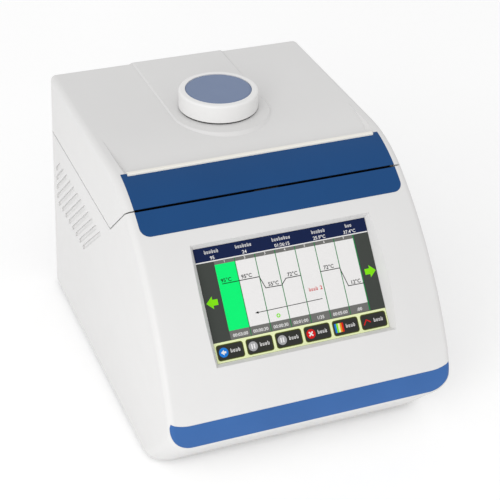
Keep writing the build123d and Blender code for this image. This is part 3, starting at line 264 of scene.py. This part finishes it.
# ---------------------------------------------------------------- the page on the display
SCREEN_TILT = radians(49.7)
UP_SLOPE = Vector((0, cos(SCREEN_TILT), sin(SCREEN_TILT)))
OUT = Vector((0, -sin(SCREEN_TILT), cos(SCREEN_TILT)))
GLASS_HALF = 0.9                    # half of the glass's thickness
glass_low, glass_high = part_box("touch_glass")
FACE = (glass_low + glass_high) / 2 + OUT * GLASS_HALF * MM
PAGE_W, PAGE_H = 169.6, 104.3
FIRST_LAYER, LAYER = 0.04, 0.03     # height of the page's layers above the glass
PAGE_GLOW = 0.15                    # light that the page gives off

PAGE = {
    "page_navy": (0.004, 0.012, 0.058),
    "page_white": (0.76, 0.75, 0.745),
    "page_grey": (0.050, 0.056, 0.050),
    "page_row": (0.150, 0.150, 0.142),
    "page_green": (0.0, 0.82, 0.165),
    "page_line": (0.006, 0.20, 0.05),
    "page_black": (0.006, 0.006, 0.007),
    "page_red": (0.62, 0.008, 0.008),
    "page_lime": (0.20, 0.70, 0.004),
    "page_yellow": (0.74, 0.80, 0.46),
    "page_button": (0.028, 0.029, 0.025),
    "page_blue": (0.012, 0.18, 0.62),
    "page_silver": (0.36, 0.36, 0.37),
    "page_olive": (0.10, 0.12, 0.008),
    "page_orange": (0.72, 0.25, 0.008),
}
PAGE_INDEX = {name: index for index, name in enumerate(PAGE)}
page = bmesh.new()


def page_point(u, v, layer):
    """Point of the page, in millimetres from its middle, a little above the glass."""
    lift = FIRST_LAYER + LAYER * layer
    return FACE + (Vector((1, 0, 0)) * u + UP_SLOPE * v + OUT * lift) * MM


def fill(points, layer, colour):
    """A flat patch of the page."""
    face = page.faces.new([page.verts.new(page_point(u, v, layer)) for u, v in points])
    face.material_index = PAGE_INDEX[colour]


def patch(u0, u1, v0, v1, layer, colour):
    """A rectangle of the page."""
    fill([(u0, v0), (u1, v0), (u1, v1), (u0, v1)], layer, colour)


def rounded(u0, u1, v0, v1, radius, layer, colour):
    """A rectangle with round corners."""
    points = []
    corners = [(u1 - radius, v0 + radius, -90), (u1 - radius, v1 - radius, 0)]
    corners += [(u0 + radius, v1 - radius, 90), (u0 + radius, v0 + radius, 180)]
    for cu, cv, start in corners:
        for step in range(5):
            angle = radians(start + 22.5 * step)
            points.append((cu + radius * cos(angle), cv + radius * sin(angle)))
    fill(points, layer, colour)


def disc(u, v, radius, layer, colour):
    """A round patch."""
    angles = [pi * i / 12 for i in range(24)]
    fill([(u + radius * cos(a), v + radius * sin(a)) for a in angles], layer, colour)


def stroke(points, width, layer, colour):
    """A line through these points."""
    for (u0, v0), (u1, v1) in zip(points, points[1:]):
        along = Vector((u1 - u0, v1 - v0)).normalized()
        side = Vector((-along.y, along.x)) * width / 2
        tip = along * width * 0.3
        fill([
            (u0 - tip.x - side.x, v0 - tip.y - side.y),
            (u1 + tip.x - side.x, v1 + tip.y - side.y),
            (u1 + tip.x + side.x, v1 + tip.y + side.y),
            (u0 - tip.x + side.x, v0 - tip.y + side.y),
        ], layer, colour)


def marks(u, v, count, size, layer, colour):
    """A row of small marks in place of a word, centred at u."""
    pattern = (1.0, 0.7, 0.72, 1.0, 0.7, 0.95, 0.7, 0.7, 1.0, 0.7)
    pitch = size * 0.68
    start = u - pitch * (count - 1) / 2
    for i in range(count):
        middle = start + i * pitch
        tall = size * pattern[i % len(pattern)]
        wide = size * 0.22
        patch(middle - wide, middle - wide * 0.35, v, v + tall, layer, colour)
        patch(middle + wide * 0.35, middle + wide, v, v + size * 0.7, layer, colour)
        patch(middle - wide, middle + wide, v, v + size * 0.14, layer, colour)


def letters(text, size):
    """Filled outlines of a centred line of text of this height, as lists of points."""
    curve = bpy.data.curves.new("letters", "FONT")
    curve.body = text
    curve.size = size * 1.37
    curve.resolution_u = 2
    curve.align_x = "CENTER"
    curve.offset = 0.02 * size
    holder = bpy.data.objects.new("letters", curve)
    bpy.context.scene.collection.objects.link(holder)
    bpy.context.view_layer.update()
    mesh = bpy.data.meshes.new_from_object(holder)
    outlines = []
    for polygon in mesh.polygons:
        corners = [mesh.vertices[i].co for i in polygon.vertices]
        outlines.append([(c.x, c.y) for c in corners])
    bpy.data.objects.remove(holder)
    bpy.data.curves.remove(curve)
    bpy.data.meshes.remove(mesh)
    return outlines


def digits(text, u, v, size, layer, colour):
    """Numbers of this height, centred at u, on the line v."""
    for outline in letters(text, size):
        fill([(u + x, v + y) for x, y in outline], layer, colour)


def draw_page():
    """The running-program page: header, chart, side arrows and a row of buttons."""
    half_w, half_h = PAGE_W / 2, PAGE_H / 2
    chart_left, chart_right, chart_low, chart_high = -67.9, 69.4, -25.5, 35.2
    row_low, row_high = -33.9, 38.6
    column = (chart_right - chart_left) / 7
    patch(-half_w, half_w, row_high + 1.0, half_h, 0, "page_navy")
    patch(-half_w, half_w, row_high, row_high + 1.0, 0, "page_white")
    patch(-half_w, half_w, row_low, row_high, 0, "page_grey")
    patch(chart_left, chart_right, row_low + 0.5, row_high, 1, "page_row")
    patch(chart_left, chart_right, chart_low, chart_high, 2, "page_white")
    patch(chart_left, chart_left + column, chart_low, chart_high, 3, "page_green")
    for i in range(1, 8):
        u = chart_left + i * column
        stroke([(u, row_low + 1.0), (u, row_high - 0.3)], 0.75 if i < 7 else 1.1, 4, "page_line")
        digits(str(i), u - column / 2, chart_high + 0.8, 2.3, 4, "page_white")
    header = ((-68.4, 6, "95"), (-37.5, 7, "24"), (-0.6, 8, "01:26:15"), (36.5, 6, "25.9°C"),
              (67.0, 3, "37.4°C"))
    for u, count, value in header:
        marks(u, 46.2, count, 3.4, 1, "page_white")
        digits(value, u, 40.6, 3.2, 1, "page_white")
    course = [(-64.5, 17.1), (-28.9, 17.1), (-25.1, 6.0), (-9.5, 5.6), (-4.2, 11.0), (10.4, 10.9)]
    stroke(course, 0.7, 5, "page_black")
    stroke([(30.0, 10.7), (49.4, 10.6), (54.0, -7.2), (70.0, -7.4)], 0.7, 5, "page_black")
    temperatures = ((-60.2, 18.4, "95°C"), (-40.5, 18.4, "95°C"), (-17.0, 7.0, "55°C"),
                    (2.8, 12.2, "72°C"), (39.0, 12.0, "72°C"), (61.8, -6.2, "12°C"))
    for u, v, text in temperatures:
        digits(text, u, v, 3.6, 5, "page_black")
    marks(19.5, -5.2, 4, 3.4, 5, "page_red")
    digits("2", 27.3, -5.2, 3.6, 5, "page_red")
    stroke([(-38.5, -14.4), (26.0, -13.8)], 0.6, 5, "page_black")
    fill([(-40.3, -14.4), (-37.0, -15.6), (-37.0, -13.2)], 5, "page_black")
    disc(-19.1, -20.8, 1.9, 5, "page_lime")
    disc(-19.1, -20.8, 0.9, 6, "page_white")
    times = ("00:03:00", "00:00:30", "00:00:30", "00:01:00", "1/35", "00:05:00", ":00")
    for i, text in enumerate(times):
        digits(text, chart_left + (i + 0.5) * column, -31.6, 3.1, 4, "page_white")
    for u, turn in ((-77.4, -1), (78.3, 1)):
        head = [(u + turn * 5.8, 2.2), (u - turn * 0.4, 8.0), (u - turn * 0.4, 4.9)]
        tail = [(u - turn * 5.2, 4.9), (u - turn * 5.2, -0.5), (u - turn * 0.4, -0.5),
                (u - turn * 0.4, -3.6)]
        arrow = head + tail
        fill(arrow if turn < 0 else arrow[::-1], 2, "page_lime")
    draw_buttons(-half_w, half_w, -half_h, row_low)


def draw_sign(i, u, v):
    """The sign of button i, centred at u, v."""
    if i < 4:
        plate = ("page_blue", "page_silver", "page_silver", "page_red")[i]
        disc(u, v, 4.4, 3, plate)
    if i == 0:
        fill([(u - 2.6, v), (u + 0.4, v - 2.4), (u + 0.4, v + 2.4)], 4, "page_white")
        patch(u + 0.4, u + 2.4, v - 0.9, v + 0.9, 4, "page_white")
    elif i in (1, 2):
        patch(u - 1.8, u - 0.5, v - 2.2, v + 2.2, 4, "page_white")
        patch(u + 0.5, u + 1.8, v - 2.2, v + 2.2, 4, "page_white")
    elif i == 3:
        stroke([(u - 1.6, v - 1.6), (u + 1.6, v + 1.6)], 1.3, 4, "page_white")
        stroke([(u - 1.6, v + 1.6), (u + 1.6, v - 1.6)], 1.3, 5, "page_white")
    elif i == 4:
        stripes = ("page_blue", "page_lime", "page_yellow", "page_orange", "page_red")
        for j, colour in enumerate(stripes):
            patch(u - 4.4 + 1.75 * j, u - 2.65 + 1.75 * j, v - 4.2, v + 4.2, 3, colour)
    else:
        stroke([(u - 3.6, v - 2.4), (u - 0.6, v + 2.0), (u + 3.2, v - 0.6)], 1.0, 4, "page_red")


def draw_buttons(left, right, low, high):
    """The bottom row: six dark buttons, each with a sign and a word of plain marks."""
    patch(left, right, low, high, 0, "page_yellow")
    pitch = (right - left) / 6
    for i in range(6):
        u0 = left + i * pitch + 1.2
        u1 = u0 + pitch - 2.4
        rounded(u0, u1, low + 1.7, high - 2.0, 2.6, 1, "page_olive")
        rounded(u0 + 0.7, u1 - 0.7, low + 2.4, high - 2.7, 2.1, 2, "page_button")
        marks(u0 + 17.6, low + 7.6, 4, 3.6, 3, "page_white")
        draw_sign(i, u0 + 6.4, (low + high) / 2 - 0.2)


draw_page()
page_mesh = bpy.data.meshes.new("screen_page")
page.to_mesh(page_mesh)
page.free()
for name, colour in PAGE.items():
    page_mesh.materials.append(screen_colour(name, colour))
screen_page = bpy.data.objects.new("screen_page", page_mesh)
bpy.context.scene.collection.objects.link(screen_page)
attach(screen_page, "base")


# ---------------------------------------------------------------- marks beside the wells
WELL_COLUMNS, WELL_ROWS, WELL_PITCH = 12, 8, 9.0
WELL_MARK = 1.9                     # height of a number or letter
NUMBERS_Y, LETTERS_X = 35.1, -54.3
INK_HEIGHT = 0.03                   # above the block's top


def print_on_block(ink, text, x, y, size):
    """A mark on the sample block's top, in millimetres from its middle."""
    low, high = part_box("sample_block")
    middle = (low + high) / 2
    start = Vector((middle.x + x * MM, middle.y + y * MM, high.z + INK_HEIGHT * MM))
    for outline in letters(text, size):
        ink.faces.new([ink.verts.new(start + Vector((u, v, 0)) * MM) for u, v in outline])


def well_marks():
    """Column numbers behind the wells and row letters to their left."""
    ink = bmesh.new()
    for column in range(WELL_COLUMNS):
        x = (column - (WELL_COLUMNS - 1) / 2) * WELL_PITCH
        print_on_block(ink, str(column + 1), x, NUMBERS_Y, WELL_MARK)
    for row in range(WELL_ROWS):
        y = ((WELL_ROWS - 1) / 2 - row) * WELL_PITCH - WELL_MARK / 2
        print_on_block(ink, "ABCDEFGH"[row], LETTERS_X, y, WELL_MARK)
    mesh = bpy.data.meshes.new("well_marks")
    ink.to_mesh(mesh)
    ink.free()
    mesh.materials.append(plastic("block_ink", (0.02, 0.02, 0.022), 0.6, vary=0.1))
    marks_object = bpy.data.objects.new("well_marks", mesh)
    bpy.context.scene.collection.objects.link(marks_object)
    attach(marks_object, "base")


well_marks()


# ---------------------------------------------------------------- stage, light and camera
FLOOR_REACH = 6.0
CAMERA_AZIMUTH, CAMERA_ELEVATION, CAMERA_ROLL = radians(-22.451), radians(32.496), radians(1.672)
CAMERA_PLACE = (-0.457331, -1.132880, 0.902784)
SENSOR_WIDTH = 36.0
FOCAL_LENGTH = 1458.881 / 500       # in widths of the picture


def floor():
    """A pale floor, larger than the view."""
    mesh = bpy.data.meshes.new("floor")
    corners = [(x * FLOOR_REACH, y * FLOOR_REACH, 0) for x, y in ((-1, -1), (1, -1), (1, 1), (-1, 1))]
    mesh.from_pydata(corners, [], [(0, 1, 2, 3)])
    plane = bpy.data.objects.new("floor", mesh)
    bpy.context.scene.collection.objects.link(plane)
    material, tree, shader = new_material("floor")
    mottle(tree, shader, noise(tree, 1.5, 2), (1, 1, 1), 0.96, 0.98)
    shader.inputs["Roughness"].default_value = 0.8
    shader.inputs["Specular IOR Level"].default_value = 0.2
    shader.inputs["Emission Color"].default_value = (1, 1, 1, 1)
    shader.inputs["Emission Strength"].default_value = 0.10
    mesh.materials.append(material)


def softbox(name, where, target, size, power):
    """A square area light that looks at target."""
    data = bpy.data.lights.new(name, "AREA")
    data.shape = "RECTANGLE"
    data.size, data.size_y = size
    data.energy = power
    lamp = bpy.data.objects.new(name, data)
    bpy.context.scene.collection.objects.link(lamp)
    lamp.location = where
    lamp.rotation_euler = (Vector(target) - Vector(where)).to_track_quat("-Z", "Y").to_euler()


def far_key(source, strength, angle):
    """A distant lamp that shines from source, as wide as angle in degrees."""
    data = bpy.data.lights.new("far_key", "SUN")
    data.energy = strength
    data.angle = radians(angle)
    lamp = bpy.data.objects.new("far_key", data)
    bpy.context.scene.collection.objects.link(lamp)
    lamp.rotation_euler = (-Vector(source)).to_track_quat("-Z", "Y").to_euler()


def world(strength):
    """Even white surroundings."""
    surroundings = bpy.data.worlds.new("studio")
    bpy.context.scene.world = surroundings
    surroundings.use_nodes = True
    backdrop = surroundings.node_tree.nodes["Background"]
    backdrop.inputs["Color"].default_value = (1, 1, 1, 1)
    backdrop.inputs["Strength"].default_value = strength


def camera():
    """The camera at the photo's angle."""
    level = cos(CAMERA_ELEVATION)
    back = Vector((sin(CAMERA_AZIMUTH) * level, -cos(CAMERA_AZIMUTH) * level, sin(CAMERA_ELEVATION)))
    right = (-back).cross(Vector((0, 0, 1))).normalized()
    up = right.cross(-back)
    turned_right = right * cos(CAMERA_ROLL) + up * sin(CAMERA_ROLL)
    turned_up = up * cos(CAMERA_ROLL) - right * sin(CAMERA_ROLL)
    data = bpy.data.cameras.new("camera")
    data.sensor_width = SENSOR_WIDTH
    data.lens = FOCAL_LENGTH * SENSOR_WIDTH
    view = bpy.data.objects.new("camera", data)
    bpy.context.scene.collection.objects.link(view)
    basis = Matrix((turned_right, turned_up, back)).transposed().to_4x4()
    view.matrix_world = Matrix.Translation(CAMERA_PLACE) @ basis
    bpy.context.scene.camera = view


floor()
world(0.82)
far_key((-0.62, -0.50, 0.60), 0.36, 35)
softbox("key", (-0.82, -0.92, 0.55), (-0.1, -0.1, 0.12), (0.5, 0.5), 3.2)
camera()
bpy.context.scene.view_settings.view_transform = "Standard"
